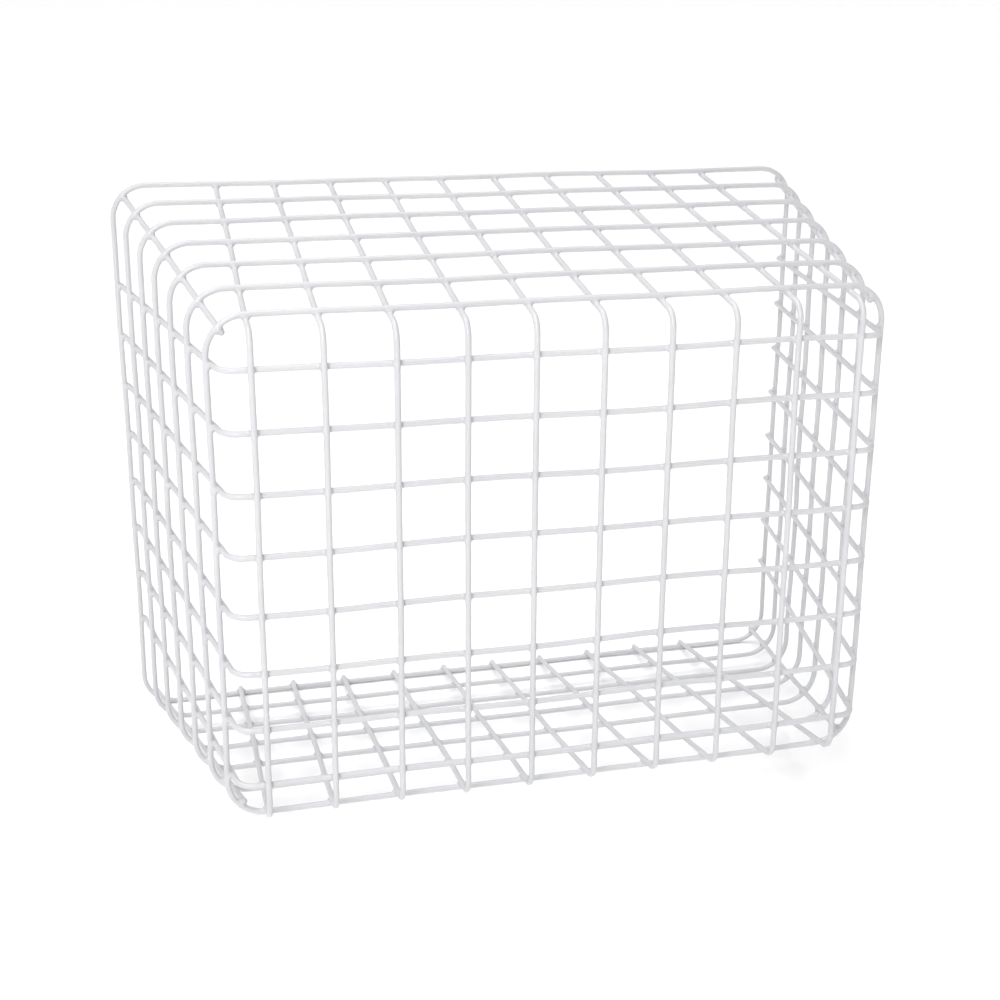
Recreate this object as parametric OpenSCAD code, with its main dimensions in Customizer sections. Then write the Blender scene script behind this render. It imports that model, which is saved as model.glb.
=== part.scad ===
// Welded wire basket, coated, with rounded corners and an open back.
// Closed rings stand one behind the other, upright and cross wires bend round the inside
// of them, and a straight wire ties the rings together in each corner.
// The front lies towards -Y, the open side towards +Y, and +Z is up.

/* [Wire] */
// Diameter of every wire over its coating
wire_d = 3.5; // [3:0.25:4.5]
// Depth by which two crossing wires sink into each other at a weld
weld_sink = 0.3; // [0.2:0.05:0.5]

/* [Mesh] */
// Pitch of the upright wires across the width
upright_pitch = 40; // [34:1:44]
// Pitch of the cross wires over the height
cross_pitch = 36; // [32:1:40]
// Pitch of the rings along the depth
ring_pitch = 40; // [34:1:48]

/* [Shell] */
// Corner radius of the rings, to the wire's centre line
ring_corner_r = 23; // [18:1:30]
// Height between the outermost cross wire and the front ring's top, centre line to centre line
ring_head_h = 27.5; // [24:0.5:32]
// Growth of a ring's half width for each ring towards the open side
side_step = 8; // [4:0.5:10]
// Growth of a ring's half height for each ring towards the open side
top_step = 7; // [4:0.5:9]
// Radius of the bend between the front face and each side, to the wire's centre line
front_bend_r = 11; // [8:1:16]
// Gap between the front ring's plane and the upright wires' front plane, centre line to centre line
front_gap = 20; // [18:0.5:24]
// Length of the wire ends past the last ring's centre line
end_past = 4; // [3:0.5:6]
// Length of the corner wires past the first ring's centre line
corner_front_past = 2.5; // [2:0.5:5]

/* [Hidden] */
$fn = 48;
RINGS = 7;
UPRIGHTS = 10;
CROSSES = 8;
// The four corners in turn, each a quarter turn on from the one before
CORNERS = ["upper_right", "upper_left", "lower_left", "lower_right"];
CORNER_SIGNS = [[1, 1], [-1, 1], [-1, -1], [1, -1]];
wire_r = wire_d / 2;
// Half length of the collar over a meeting of two stretches
collar_h = 0.2;
// Distance between the centre lines of two welded wires
lap = wire_d - weld_sink;
// Outermost upright and cross wires, from the middle of the mesh
upright_reach = upright_pitch * (UPRIGHTS - 1) / 2;
cross_reach = cross_pitch * (CROSSES - 1) / 2;
// Half sizes of the front ring, and slopes of the sides
front_half_w = upright_reach + ring_corner_r;
front_half_h = cross_reach + ring_head_h;
side_slope = side_step / ring_pitch;
top_slope = top_step / ring_pitch;
side_tilt = hundredth(atan(side_slope));
top_tilt = hundredth(atan(top_slope));
depth = ring_pitch * (RINGS - 1);
// Half sizes of the last ring
back_half_w = front_half_w + side_step * (RINGS - 1);
back_half_h = front_half_h + top_step * (RINGS - 1);
// Centre planes of the two layers of the front grid, measured from the front ring
upright_front_y = -front_gap;
cross_front_y = upright_front_y + lap;
// Shift that puts the origin under the middle of the whole basket
front_y = upright_front_y - wire_r;
back_y = depth + end_past;
origin_shift = [0, -(front_y + back_y) / 2, back_half_h + wire_r];

// Rounds to a hundredth, so that the straight and the bent stretches of a wire meet exactly
function hundredth(x) = round(x * 100) / 100;

function ring_y(n) = ring_pitch * (n - 1);
function ring_half_w(n) = front_half_w + side_step * (n - 1);
function ring_half_h(n) = front_half_h + top_step * (n - 1);

// Moves a shape from the mesh's own axes, with the front ring at y = 0, to the basket's origin
module place() {
    color("whitesmoke") translate(origin_shift) children();
}

// A straight wire from the origin along +X
module rod(length) {
    rotate([0, 90, 0]) cylinder(h = length, r = wire_r);
}

// A bent stretch of wire round the origin, counter-clockwise from one angle to the next
module bend(from_angle, to_angle, radius) {
    rotate(from_angle)
        rotate_extrude(angle = to_angle - from_angle)
            translate([radius, 0]) circle(r = wire_r);
}

// Cuts a wire's end flat in the plane of the open side
module trim_at_back() {
    reach = 2 * back_half_w;
    difference() {
        children();
        translate([back_y, -reach / 2, -reach / 2]) cube(reach);
    }
}

// A thin collar round the place where a bend meets the front stretch, so that the two fuse
module collar() {
    rotate([90, 0, 0]) cylinder(h = 2 * collar_h, r = wire_r + collar_h / 20, center = true);
}

// One leg of a bent wire, from its front bend to the open side, in the XY plane with depth along X.
// centre is the middle of the bend.
module leg(centre, tilt) {
    length = ceil((back_y - centre[0]) / cos(tilt) + wire_d);
    trim_at_back() translate(centre) rotate(tilt) {
        translate([0, front_bend_r, 0]) rod(length);
        bend(90, 180 - tilt, front_bend_r);
    }
    translate(centre) translate([-front_bend_r, 0, 0]) collar();
}

// A wire bent round the front of the basket, in the XY plane with depth along X.
// half_span is the front ring's half size in this direction.
module bent_wire(front_plane_y, half_span, slope, tilt) {
    centre_y = front_plane_y + front_bend_r;
    centre_span = hundredth(half_span + slope * centre_y - (lap + front_bend_r) / cos(tilt));
    leg([centre_y, centre_span, 0], tilt);
    mirror([0, 1, 0]) leg([centre_y, centre_span, 0], tilt);
    translate([front_plane_y, -centre_span, 0]) rotate(90) rod(2 * centre_span);
}

// One closed ring, counted from the front
module ring(n) {
    straight_w = ring_half_w(n) - ring_corner_r;
    straight_h = ring_half_h(n) - ring_corner_r;
    place() translate([0, ring_y(n), 0]) rotate([90, 0, 0]) {
        for (i = [0:3]) {
            sign = CORNER_SIGNS[i];
            translate([sign[0] * straight_w, sign[1] * straight_h, 0])
                bend(90 * i, 90 * (i + 1), ring_corner_r);
        }
        for (side = [-1, 1]) {
            translate([-straight_w, side * ring_half_h(n), 0]) rod(2 * straight_w);
            translate([side * ring_half_w(n), -straight_h, 0]) rotate(90) rod(2 * straight_h);
        }
    }
}

// One upright wire, counted from the left: over the top, down the front and back underneath
module upright_wire(n) {
    place() translate([upright_pitch * (n - 1) - upright_reach, 0, 0])
        rotate([90, 0, 90]) bent_wire(upright_front_y, front_half_h, top_slope, top_tilt);
}

// One cross wire, counted from the top: along the left side, across the front and back along the right
module cross_wire(n) {
    place() translate([0, 0, cross_reach - cross_pitch * (n - 1)])
        rotate(90) bent_wire(cross_front_y, front_half_w, side_slope, side_tilt);
}

// One straight wire inside the rings' corners
module corner_wire(i) {
    sign = CORNER_SIGNS[i];
    // Distance from the wire to each ring's corner centre; the slope of both sides shortens the gap
    offset_r = ring_corner_r - lap * sqrt(1 + pow(side_slope + top_slope, 2) / 2);
    at_first_ring = [
        front_half_w - ring_corner_r + offset_r * cos(45),
        0,
        front_half_h - ring_corner_r + offset_r * sin(45)
    ];
    run = [side_slope, 1, top_slope];
    // The far end runs a wire's width too long, and is cut back to the plane of the open side
    length = norm(run) * (corner_front_past + back_y + wire_d);
    place() mirror([sign[0] < 0 ? 1 : 0, 0, 0]) mirror([0, 0, sign[1] < 0 ? 1 : 0])
        difference() {
            translate(at_first_ring - run * corner_front_past)
                rotate([0, acos(run[2] / norm(run)), atan2(run[1], run[0])])
                    cylinder(h = length, r = wire_r);
            translate([0, back_y, 0]) cube(2 * back_half_w);
        }
}

for (n = [1:RINGS])
    ring(n);
for (n = [1:UPRIGHTS])
    upright_wire(n);
for (n = [1:CROSSES])
    cross_wire(n);
for (i = [0:3])
    corner_wire(i);
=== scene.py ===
"""A coated, welded wire basket with an open back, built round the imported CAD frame. Lengths are in metres.

Every wire is swept along the line of its CAD node and takes that node's place. Where two wires cross,
the coating runs from one to the other in a fillet, which is worked into both wires' meshes.
"""
import math

import bpy
import numpy as np
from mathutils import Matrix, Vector


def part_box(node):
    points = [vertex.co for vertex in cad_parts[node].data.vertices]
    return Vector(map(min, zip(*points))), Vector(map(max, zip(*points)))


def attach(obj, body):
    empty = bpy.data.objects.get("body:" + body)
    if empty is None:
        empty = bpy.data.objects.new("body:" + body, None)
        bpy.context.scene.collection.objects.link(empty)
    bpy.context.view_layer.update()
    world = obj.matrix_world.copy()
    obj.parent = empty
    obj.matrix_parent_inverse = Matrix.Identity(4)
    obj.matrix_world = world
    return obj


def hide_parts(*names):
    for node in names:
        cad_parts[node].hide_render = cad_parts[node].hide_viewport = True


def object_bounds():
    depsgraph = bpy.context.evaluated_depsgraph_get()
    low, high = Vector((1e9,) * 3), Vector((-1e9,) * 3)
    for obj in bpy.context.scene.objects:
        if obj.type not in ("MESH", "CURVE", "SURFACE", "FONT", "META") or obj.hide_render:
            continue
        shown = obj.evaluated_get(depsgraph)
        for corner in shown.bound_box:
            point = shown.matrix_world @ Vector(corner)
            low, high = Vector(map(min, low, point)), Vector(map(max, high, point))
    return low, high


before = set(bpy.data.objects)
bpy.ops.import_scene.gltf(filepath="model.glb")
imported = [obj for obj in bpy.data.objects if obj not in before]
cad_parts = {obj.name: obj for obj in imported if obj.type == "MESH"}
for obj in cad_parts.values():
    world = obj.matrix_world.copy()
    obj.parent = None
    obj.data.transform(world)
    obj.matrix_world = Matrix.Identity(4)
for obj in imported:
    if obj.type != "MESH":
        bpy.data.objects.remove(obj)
cad_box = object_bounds()

MM = 0.001

# The wires' bends, as the CAD makes them
RING_CORNER_R = 23 * MM
FRONT_BEND_R = 11 * MM
WELD_SINK = 0.3 * MM

# The wires' meshes
SIDES = 16
FINE_STEP = 0.5 * MM
BEND_STEP = 4
COARSE_STEP = 16
CAP_RINGS = 5

# The coating's fillets at the welds
FILLET = 3.0 * MM
FILLET_REACH = 6.4 * MM
RISE_LIMIT = 4.6 * MM
RISE_STEPS = 32

# Wire ends, and how far the basket strays from its drawing
END_DROP = 0.12 * MM
END_SPREAD = 0.9 * MM
END_SWELL = 0.05
TRIM_SEED = 29
PULL_IN = 0.9 * MM
SWAY = 0.7 * MM

# Angle at which a cap's tip stays open, how high up a fillet the painted shade in the crease between
# crossing wires is full, and how far an end is worn, the last two in fillets and in wire radii
CAP_TIP_ANGLE = 0.02
FULL_SHADE_RISE = 0.35
WORN_REACH = 1.2

RINGS = 7
UPRIGHTS = 10
CROSSES = 8
CORNERS = {"upper_right": (1, 1), "upper_left": (-1, 1), "lower_left": (-1, -1), "lower_right": (1, -1)}

X, Y, Z = np.eye(3)


# ---------------------------------------------------------------- the frame's measures


def node_box(name):
    low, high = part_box(name)
    return np.array(low), np.array(high)


first_low, first_high = node_box("ring_1")
last_low, last_high = node_box(f"ring_{RINGS}")
WIRE_R = (first_high[1] - first_low[1]) / 2
LAP = 2 * WIRE_R - WELD_SINK
MIDDLE = (first_low + first_high) / 2
FIRST_Y = MIDDLE[1]
LAST_Y = (last_low[1] + last_high[1]) / 2
FIRST_HALF = (first_high - first_low) / 2 - WIRE_R
LAST_HALF = (last_high - last_low) / 2 - WIRE_R
SLOPE = (LAST_HALF - FIRST_HALF) / (LAST_Y - FIRST_Y)
BOX_LOW = np.array(cad_box[0])
BOX_HIGH = np.array(cad_box[1])
BACK_Y = BOX_HIGH[1]


# ---------------------------------------------------------------- wire paths


class Line:
    """A straight stretch of wire."""

    def __init__(self, start, end):
        self.start, self.end = np.array(start, float), np.array(end, float)
        self.length = np.linalg.norm(self.end - self.start)
        self.along = (self.end - self.start) / self.length

    def at(self, travel):
        return self.start + np.outer(travel, self.along), np.tile(self.along, (len(travel), 1))

    def nearest(self, points):
        travel = np.clip((points - self.start) @ self.along, 0, self.length)
        return self.start + travel[..., None] * self.along


class Arc:
    """A bend of wire, which starts at centre + radius * u and turns towards v."""

    def __init__(self, centre, u, v, radius, turn):
        self.centre, self.u, self.v = np.array(centre, float), np.array(u, float), np.array(v, float)
        self.radius, self.turn = radius, turn
        self.length = radius * turn

    def at(self, travel):
        angle = travel[:, None] / self.radius
        out = np.cos(angle) * self.u + np.sin(angle) * self.v
        along = np.cos(angle) * self.v - np.sin(angle) * self.u
        return self.centre + self.radius * out, along

    def nearest(self, points):
        offset = points - self.centre
        angle = np.clip(np.arctan2(offset @ self.v, offset @ self.u), 0, self.turn)[..., None]
        return self.centre + self.radius * (np.cos(angle) * self.u + np.sin(angle) * self.v)


class Wire:
    """One wire: its CAD node, its stretches in order, and the normal of the plane that it lies in."""

    def __init__(self, node, stretches, normal, closed=False):
        self.node, self.stretches, self.normal, self.closed = node, stretches, np.array(normal), closed


def ring(number):
    """A closed rounded rectangle across the depth."""
    low, high = node_box(f"ring_{number}")
    middle = (low + high) / 2
    half = (high - low) / 2 - WIRE_R
    reach_x, reach_z = half[0] - RING_CORNER_R, half[2] - RING_CORNER_R
    stretches = []
    for quarter in range(4):
        out, onward = [(X, Z), (Z, -X), (-X, -Z), (-Z, X)][quarter]
        side_x, side_z = [(1, 1), (-1, 1), (-1, -1), (1, -1)][quarter]
        centre = middle + side_x * reach_x * X + side_z * reach_z * Z
        stretches.append(Arc(centre, out, onward, RING_CORNER_R, math.pi / 2))
        start = centre + RING_CORNER_R * onward
        run = 2 * (reach_x if quarter % 2 == 0 else reach_z)
        stretches.append(Line(start, start - run * out))
    return Wire(f"ring_{number}", stretches, Y, closed=True)


def bent_wire(node, middle, side, span, slope, front_y, end_trims):
    """A wire from the open side, round the front, and back. side is the direction across the span."""
    tilt = math.atan(slope)
    turn = math.pi / 2 - tilt
    centre_y = front_y + FRONT_BEND_R
    centre_span = span + slope * (centre_y - FIRST_Y) - (LAP + FRONT_BEND_R) / math.cos(tilt)
    legs = []
    for sign, trim in zip((1, -1), end_trims):
        centre = middle + sign * centre_span * side
        centre[1] = centre_y
        out = math.cos(tilt) * sign * side - math.sin(tilt) * Y
        towards_front = -math.sin(tilt) * sign * side - math.cos(tilt) * Y
        bend_start = centre + FRONT_BEND_R * out
        end = bend_start - towards_front * (BACK_Y - trim - bend_start[1]) / math.cos(tilt)
        legs.append((centre, out, towards_front, bend_start, end))
    (centre, out, towards_front, bend_start, end), (far_centre, _, _, far_bend_start, far_end) = legs
    stretches = [
        Line(end, bend_start),
        Arc(centre, out, towards_front, FRONT_BEND_R, turn),
        Line(centre - FRONT_BEND_R * Y, far_centre - FRONT_BEND_R * Y),
        Arc(far_centre, -Y, -side, FRONT_BEND_R, turn),
        Line(far_bend_start, far_end),
    ]
    return Wire(node, stretches, np.cross(side, Y))


def upright_wire(number, trims):
    low, high = node_box(f"upright_wire_{number}")
    middle = np.array([(low[0] + high[0]) / 2, 0, MIDDLE[2]])
    return bent_wire(f"upright_wire_{number}", middle, Z, FIRST_HALF[2], SLOPE[2], low[1] + WIRE_R, trims)


def cross_wire(number, trims):
    low, high = node_box(f"cross_wire_{number}")
    middle = np.array([MIDDLE[0], 0, (low[2] + high[2]) / 2])
    return bent_wire(f"cross_wire_{number}", middle, X, FIRST_HALF[0], SLOPE[0], low[1] + WIRE_R, trims)


def corner_wire(name, signs, trims):
    """A straight wire inside the rings' corners."""
    low, high = node_box(f"corner_wire_{name}")
    offset = RING_CORNER_R - LAP * math.sqrt(1 + (SLOPE[0] + SLOPE[2]) ** 2 / 2)
    reach = FIRST_HALF - RING_CORNER_R + offset * math.sqrt(0.5)
    at_first = MIDDLE + signs[0] * reach[0] * X + signs[1] * reach[2] * Z
    run = Y + signs[0] * SLOPE[0] * X + signs[1] * SLOPE[2] * Z
    front = at_first + run * (low[1] + trims[0] - FIRST_Y)
    back = at_first + run * (min(high[1], BACK_Y) - trims[1] - FIRST_Y)
    normal = np.cross(run, signs[0] * Z - signs[1] * X)
    return Wire(f"corner_wire_{name}", [Line(front, back)], normal / np.linalg.norm(normal))


def all_wires():
    """Every wire. Each open one is trimmed a little at both ends, by a seeded draw."""
    draw = np.random.default_rng(TRIM_SEED)

    def trims():
        return END_DROP + END_SPREAD * draw.random(2)

    wires = [ring(number) for number in range(1, RINGS + 1)]
    wires += [upright_wire(number, trims()) for number in range(1, UPRIGHTS + 1)]
    wires += [cross_wire(number, trims()) for number in range(1, CROSSES + 1)]
    wires += [corner_wire(name, signs, trims()) for name, signs in CORNERS.items()]
    return wires


# ---------------------------------------------------------------- wire meshes


def axis_points(wire, others):
    """Points and directions along a wire, close together near a weld and in the bends."""
    points, alongs = [], []
    for number, stretch in enumerate(wire.stretches):
        steps = max(2, round(stretch.length / FINE_STEP))
        travel = np.linspace(0, stretch.length, steps + 1)
        point, along = stretch.at(travel)
        gap = np.full(len(point), np.inf)
        for other in others:
            gap = np.minimum(gap, np.linalg.norm(point - other.nearest(point), axis=1))
        stride = BEND_STEP if isinstance(stretch, Arc) else COARSE_STEP
        keep = (gap < FILLET_REACH) | (np.arange(steps + 1) % stride == 0)
        keep[0] = number == 0
        keep[-1] = not (wire.closed and number == len(wire.stretches) - 1)
        points.append(point[keep])
        alongs.append(along[keep])
    return np.concatenate(points), np.concatenate(alongs)


def smooth_min(a, b):
    """The lesser of two distances, rounded off where they are alike."""
    blend = np.maximum(FILLET - np.abs(a - b), 0) / FILLET
    return np.minimum(a, b) - blend**2 * FILLET / 4


def take(values, index):
    """The value at each point's own height index."""
    return np.take_along_axis(values, index[None], 0)[0]


def weld_rise(centres, outs, near):
    """How far the coating's surface stands above a wire's own, over the points of its mesh."""
    rise = np.zeros(outs.shape[:2])
    heights = np.linspace(0, RISE_LIMIT, RISE_STEPS)
    touched = np.zeros(len(centres), bool)
    reach = np.full((RISE_STEPS, *outs.shape[:2]), np.inf)
    for other in near:
        close = np.linalg.norm(centres - other.nearest(centres), axis=1) < FILLET_REACH
        if not close.any():
            continue
        touched |= close
        above_axis = WIRE_R + heights[:, None, None, None]
        surface = centres[close][None, :, None] + above_axis * outs[close][None]
        gap = np.linalg.norm(surface - other.nearest(surface), axis=-1) - WIRE_R
        reach[:, close] = np.minimum(reach[:, close], gap)
    reach = reach[:, touched]
    reach[np.isinf(reach)] = 1.0
    field = smooth_min(heights[:, None, None], reach)
    outside = field >= 0
    first = np.where(outside.any(0), outside.argmax(0), RISE_STEPS - 1)
    before = np.maximum(first - 1, 0)
    low, high = take(field, before), take(field, first)
    share = np.where(high > low, -low / np.where(high > low, high - low, 1), 0)
    found = heights[before] + np.clip(share, 0, 1) * (heights[first] - heights[before])
    found[first == 0] = 0
    # Past the seam between the two wires' shares of a fillet, the mesh dives under the other one's
    past_seam = found - (take(reach, before) * (1 - share) + take(reach, first) * share)
    rise[touched] = found - 0.5 * np.maximum(past_seam, 0)
    return rise


def stray(points):
    """Pulls the basket in by up to PULL_IN and sways its wires, so that nothing is dead straight.

    The waves are in radians per metre, with no common period.
    """
    half = (BOX_HIGH - BOX_LOW) / 2
    middle = (BOX_HIGH + BOX_LOW) / 2
    share = (points - middle) / half
    x, y, z = points.T
    waves = np.stack(
        [
            np.sin(31 * y + 17 * z + 1.1) + np.sin(47 * z - 23 * x + 4.0),
            np.sin(19 * x + 29 * z + 2.3) + np.sin(41 * x - 13 * z + 0.7),
            np.sin(23 * x + 37 * y + 5.2) + np.sin(43 * x - 11 * y + 3.1),
        ],
        1,
    )
    pulled = -share * PULL_IN * (0.5 + 0.25 * waves)
    room = np.clip(1 - np.abs(share), 0, 0.5) * 2
    swayed = SWAY * room * np.roll(waves, 1, axis=1) / 2
    return points + pulled + swayed


def wire_mesh(wire, others):
    """One coated wire, with a fillet at each weld and rounded ends."""
    centres, alongs = axis_points(wire, others)
    radial = np.cross(wire.normal, alongs)
    angle = np.linspace(0, 2 * math.pi, SIDES, endpoint=False)[:, None]
    outs = np.cos(angle) * radial[:, None] + np.sin(angle) * wire.normal
    weld = weld_rise(centres, outs, others)
    rings = centres[:, None] + (WIRE_R + weld)[..., None] * outs
    # The weld attribute: how far up each fillet's crease the painted shade reaches full strength
    attribute = np.clip(weld / (FULL_SHADE_RISE * FILLET), 0, 1)
    ends = np.zeros_like(attribute)
    if not wire.closed:
        from_end = np.minimum(
            np.linalg.norm(centres - centres[0], axis=1), np.linalg.norm(centres - centres[-1], axis=1)
        )
        swell = END_SWELL * np.exp(-((from_end / (2 * WIRE_R)) ** 2))
        rings += (swell * WIRE_R)[:, None, None] * outs
        ends += np.exp(-from_end / (WORN_REACH * WIRE_R))[:, None]
        rings, attribute, ends = with_caps(rings, attribute, ends, centres, alongs, outs, swell[0])
    return rings, attribute, ends


def with_caps(rings, attribute, ends, centres, alongs, outs, swell):
    """Adds a domed cap to each end of an open wire. The cap's tip is the wire's own end point."""
    radius = WIRE_R * (1 + swell)
    start = np.linalg.norm(centres - centres[0], axis=1) > radius
    stop = np.linalg.norm(centres - centres[-1], axis=1) > radius
    keep = start & stop
    rings, attribute, ends = rings[keep], attribute[keep], ends[keep]
    caps = []
    for tip, along, out in ((centres[0], alongs[0], outs[0]), (centres[-1], -alongs[-1], outs[-1])):
        middle = tip + along * radius
        lift = np.linspace(math.pi / 2 - CAP_TIP_ANGLE, 0.0, CAP_RINGS)
        cap = [middle - along * radius * math.sin(a) + out * radius * math.cos(a) for a in lift]
        caps.append(np.array(cap))
    rings = np.concatenate([caps[0], rings, caps[1][::-1]])
    pad = np.zeros((CAP_RINGS, SIDES))
    attribute = np.concatenate([pad, attribute, pad])
    ends = np.concatenate([pad + 1, ends, pad + 1])
    return rings, attribute, ends


def make_object(wire, others, material):
    rings, weld, ends = wire_mesh(wire, others)
    count = len(rings)
    points = stray(rings.reshape(-1, 3))
    bands = count if wire.closed else count - 1
    here = np.arange(bands)[:, None] * SIDES + np.arange(SIDES)
    following = ((np.arange(bands) + 1) % count)[:, None] * SIDES + np.arange(SIDES)
    quads = np.stack([here, np.roll(here, -1, 1), np.roll(following, -1, 1), following], -1).reshape(-1, 4)
    faces = quads.tolist()
    if not wire.closed:
        faces.append(list(range(SIDES))[::-1])
        faces.append(list(range((count - 1) * SIDES, count * SIDES)))
    mesh = bpy.data.meshes.new(f"coated_{wire.node}")
    mesh.from_pydata(points.tolist(), [], faces)
    mesh.update()
    for name, values in (("weld", weld), ("wire_end", ends)):
        layer = mesh.attributes.new(name, "FLOAT", "POINT")
        layer.data.foreach_set("value", values.astype(np.float32).ravel())
    mesh.polygons.foreach_set("use_smooth", [True] * len(mesh.polygons))
    mesh.materials.append(material)
    piece = bpy.data.objects.new(f"coated_{wire.node}", mesh)
    bpy.context.scene.collection.objects.link(piece)
    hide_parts(wire.node)
    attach(piece, "root")
    return piece


# ---------------------------------------------------------------- materials


# The coating's colours
GREY_COAT = (0.535, 0.535, 0.552)
PALE_COAT = (0.575, 0.575, 0.589)
MOTTLED_COAT = (0.52, 0.52, 0.537)
# Painted shade: a darker coat laid into the fillets' creases where wires cross, standing in for the shade
# that falls there
PAINTED_CREASE_SHADE = (0.475, 0.472, 0.488)
WORN_COAT = (0.45, 0.445, 0.45)

# How fine the coating's unevenness is, in patches per metre
CLOUD_SCALE = 11.0
MOTTLE_SCALE = 260.0
SHEEN_SCALE = 90.0
PEEL_SCALE = 520.0
RIPPLE_SCALE = 130.0

# The coating's surface
ROUGHNESS_RANGE = (0.25, 0.47)
WORN_ROUGHNESS = 0.15
PEEL_SHARE = 0.35
BUMP_STRENGTH = 0.25
BUMP_HEIGHT = 0.22 * MM
COAT_IOR = 1.5
COAT_WEIGHT = 0.15
COAT_ROUGHNESS = 0.18

FLOOR_GREY = (0.945, 0.945, 0.948)
FLOOR_PALE = (0.96, 0.96, 0.962)
FLOOR_GRAIN_SCALE = 3.0
FLOOR_ROUGHNESS = 0.9


def new_material(name):
    material = bpy.data.materials.new(name)
    material.use_nodes = True
    nodes = material.node_tree.nodes
    return material, nodes, material.node_tree.links, nodes["Principled BSDF"]


def noise_node(nodes, links, coords, scale, detail, roughness=0.5):
    node = nodes.new("ShaderNodeTexNoise")
    node.inputs["Scale"].default_value = scale
    node.inputs["Detail"].default_value = detail
    node.inputs["Roughness"].default_value = roughness
    links.new(coords, node.inputs["Vector"])
    return node.outputs["Fac"]


def mix_colours(nodes, links, factor, first, second):
    """A colour between two, each a colour or another node's output."""
    node = nodes.new("ShaderNodeMix")
    node.data_type = "RGBA"
    links.new(factor, node.inputs["Factor"])
    for socket, value in ((node.inputs[6], first), (node.inputs[7], second)):
        if isinstance(value, tuple):
            socket.default_value = (*value, 1)
        else:
            links.new(value, socket)
    return node.outputs[2]


def map_range(nodes, links, value, to_low, to_high, from_low=0.0, from_high=1.0):
    node = nodes.new("ShaderNodeMapRange")
    node.inputs["From Min"].default_value = from_low
    node.inputs["From Max"].default_value = from_high
    node.inputs["To Min"].default_value = to_low
    node.inputs["To Max"].default_value = to_high
    links.new(value, node.inputs["Value"])
    return node.outputs["Result"]


def attribute_value(nodes, name):
    node = nodes.new("ShaderNodeAttribute")
    node.attribute_name = name
    return node.outputs["Fac"]


def combine(nodes, links, operation, a, b):
    node = nodes.new("ShaderNodeMath")
    node.operation = operation
    for socket, value in zip(node.inputs, (a, b)):
        if isinstance(value, float):
            socket.default_value = value
        else:
            links.new(value, socket)
    return node.outputs[0]


def coating():
    """White coating: semi-gloss, faintly mottled, with an orange peel, darkened with painted shade in the
    creases where wires meet, and dull where wires end.
    """
    material, nodes, links, shader = new_material("white_coating")
    coords = nodes.new("ShaderNodeTexCoord").outputs["Object"]
    cloud = noise_node(nodes, links, coords, CLOUD_SCALE, 3.0)
    cloud = map_range(nodes, links, cloud, 0, 1, 0.35, 0.65)
    body = mix_colours(nodes, links, cloud, GREY_COAT, PALE_COAT)
    mottle = noise_node(nodes, links, coords, MOTTLE_SCALE, 4.0, 0.6)
    mottled = map_range(nodes, links, mottle, 0, 0.5, 0.45, 0.8)
    body = mix_colours(nodes, links, mottled, body, MOTTLED_COAT)
    # Painted shade in the creases where wires cross, darkest deep in each fillet and broken up by the mottle
    weld = attribute_value(nodes, "weld")
    crease_shade = combine(nodes, links, "MULTIPLY", weld, map_range(nodes, links, mottle, 0.1, 0.55))
    body = mix_colours(nodes, links, crease_shade, body, PAINTED_CREASE_SHADE)
    wire_end = attribute_value(nodes, "wire_end")
    worn = combine(nodes, links, "MULTIPLY", wire_end, map_range(nodes, links, mottle, 0.1, 0.6))
    body = mix_colours(nodes, links, worn, body, WORN_COAT)
    links.new(body, shader.inputs["Base Color"])
    sheen = noise_node(nodes, links, coords, SHEEN_SCALE, 5.0, 0.6)
    sheen = map_range(nodes, links, sheen, *ROUGHNESS_RANGE)
    dulled = map_range(nodes, links, worn, 0.0, WORN_ROUGHNESS)
    links.new(combine(nodes, links, "ADD", sheen, dulled), shader.inputs["Roughness"])
    peel = noise_node(nodes, links, coords, PEEL_SCALE, 2.0)
    ripple = noise_node(nodes, links, coords, RIPPLE_SCALE, 2.0)
    height = combine(nodes, links, "ADD", combine(nodes, links, "MULTIPLY", peel, PEEL_SHARE), ripple)
    bump = nodes.new("ShaderNodeBump")
    bump.inputs["Strength"].default_value = BUMP_STRENGTH
    bump.inputs["Distance"].default_value = BUMP_HEIGHT
    links.new(height, bump.inputs["Height"])
    links.new(bump.outputs["Normal"], shader.inputs["Normal"])
    shader.inputs["IOR"].default_value = COAT_IOR
    shader.inputs["Coat Weight"].default_value = COAT_WEIGHT
    shader.inputs["Coat Roughness"].default_value = COAT_ROUGHNESS
    return material


def floor_paint():
    """Pale studio floor with a barely visible grain."""
    material, nodes, links, shader = new_material("studio_floor")
    coords = nodes.new("ShaderNodeTexCoord").outputs["Object"]
    grain = noise_node(nodes, links, coords, FLOOR_GRAIN_SCALE, 2.0)
    links.new(mix_colours(nodes, links, grain, FLOOR_GREY, FLOOR_PALE), shader.inputs["Base Color"])
    shader.inputs["Roughness"].default_value = FLOOR_ROUGHNESS
    return material


# ---------------------------------------------------------------- the studio

CAMERA_AT = Vector((-0.2325, -0.8745, 0.5145))
CAMERA_AIM = Vector((-0.0283, 0.0005, 0.255))
LENS_MM = 51.0
SHIFT_X = 0.03
SHIFT_Y = -0.09

KEY_AT = (-0.75, -1.35, 1.15)
KEY_SIZE = 0.7
KEY_WATTS = 18
OVERHEAD_AT = (-0.4, 0.5, 3.0)
OVERHEAD_LIGHT = 2.35
OVERHEAD_SPREAD = 60
LIGHTS_AIM = (0, 0, 0.2)

# The world's strength at the horizon, and above the height at which it stops falling
HORIZON_LIGHT = 1.0
ZENITH_LIGHT = 0.34
ZENITH_HEIGHT = 0.3
WORLD_TINT = (0.99, 0.99, 1.0)

# The floor's half size, and how far it lies below the basket
FLOOR_REACH = 150.0
FLOOR_GAP = 0.05 * MM


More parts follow.
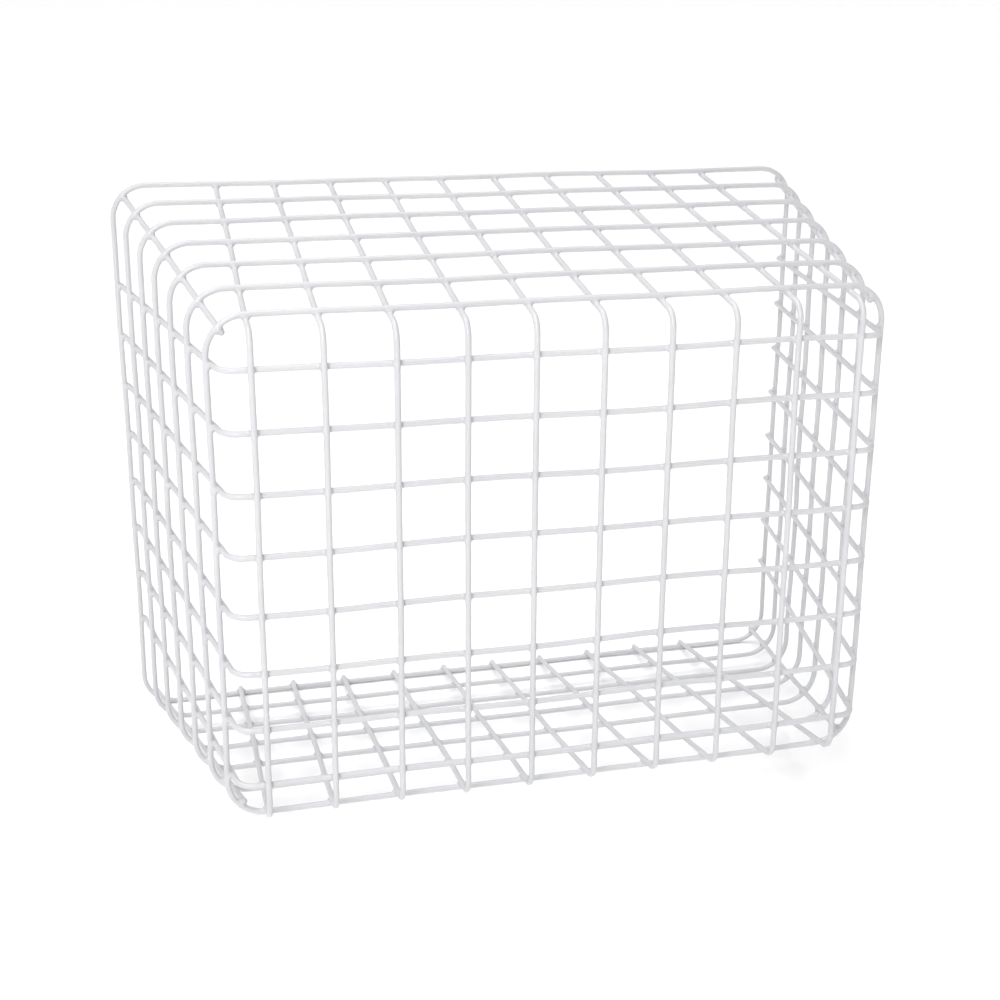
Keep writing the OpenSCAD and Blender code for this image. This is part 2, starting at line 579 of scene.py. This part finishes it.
def make_camera():
    data = bpy.data.cameras.new("camera")
    data.lens = LENS_MM
    data.shift_x = SHIFT_X
    data.shift_y = SHIFT_Y
    camera = bpy.data.objects.new("camera", data)
    camera.location = CAMERA_AT
    camera.rotation_mode = "QUATERNION"
    camera.rotation_quaternion = (CAMERA_AIM - CAMERA_AT).to_track_quat("-Z", "Y")
    bpy.context.scene.collection.objects.link(camera)
    bpy.context.scene.camera = camera


def make_floor():
    mesh = bpy.data.meshes.new("floor")
    corners = [(x * FLOOR_REACH, y * FLOOR_REACH) for x, y in ((-1, -1), (1, -1), (1, 1), (-1, 1))]
    mesh.from_pydata([(x, y, BOX_LOW[2] - FLOOR_GAP) for x, y in corners], [], [(0, 1, 2, 3)])
    mesh.materials.append(floor_paint())
    floor = bpy.data.objects.new("floor", mesh)
    bpy.context.scene.collection.objects.link(floor)


def place_light(name, data, at):
    """Puts a light at a point, turned towards the basket."""
    light = bpy.data.objects.new(name, data)
    light.location = at
    light.rotation_mode = "QUATERNION"
    light.rotation_quaternion = (Vector(LIGHTS_AIM) - Vector(at)).to_track_quat("-Z", "Y")
    bpy.context.scene.collection.objects.link(light)


def make_softbox(name, at, size, power):
    data = bpy.data.lights.new(name, "AREA")
    data.shape = "DISK"
    data.size = size
    data.energy = power
    place_light(name, data, at)


def make_sky_light(name, at, strength, spread):
    data = bpy.data.lights.new(name, "SUN")
    data.energy = strength
    data.angle = math.radians(spread)
    place_light(name, data, at)


def make_world():
    """Light that comes from all round, palest at the horizon, so that it meets the floor with no line."""
    world = bpy.data.worlds.new("studio")
    world.use_nodes = True
    nodes, links = world.node_tree.nodes, world.node_tree.links
    background = nodes["Background"]
    background.inputs["Color"].default_value = (*WORLD_TINT, 1)
    height = nodes.new("ShaderNodeSeparateXYZ")
    links.new(nodes.new("ShaderNodeTexCoord").outputs["Generated"], height.inputs[0])
    strength = map_range(nodes, links, height.outputs["Z"], HORIZON_LIGHT, ZENITH_LIGHT, 0.0, ZENITH_HEIGHT)
    links.new(strength, background.inputs["Strength"])
    bpy.context.scene.world = world


def make_studio():
    make_floor()
    make_softbox("key", KEY_AT, KEY_SIZE, KEY_WATTS)
    make_sky_light("overhead", OVERHEAD_AT, OVERHEAD_LIGHT, OVERHEAD_SPREAD)
    make_world()
    bpy.context.scene.view_settings.view_transform = "Standard"


# ---------------------------------------------------------------- the scene

make_camera()
make_studio()
paint = coating()
wires = all_wires()
for wire in wires:
    rest = [stretch for other in wires if other is not wire for stretch in other.stretches]
    make_object(wire, rest, paint)
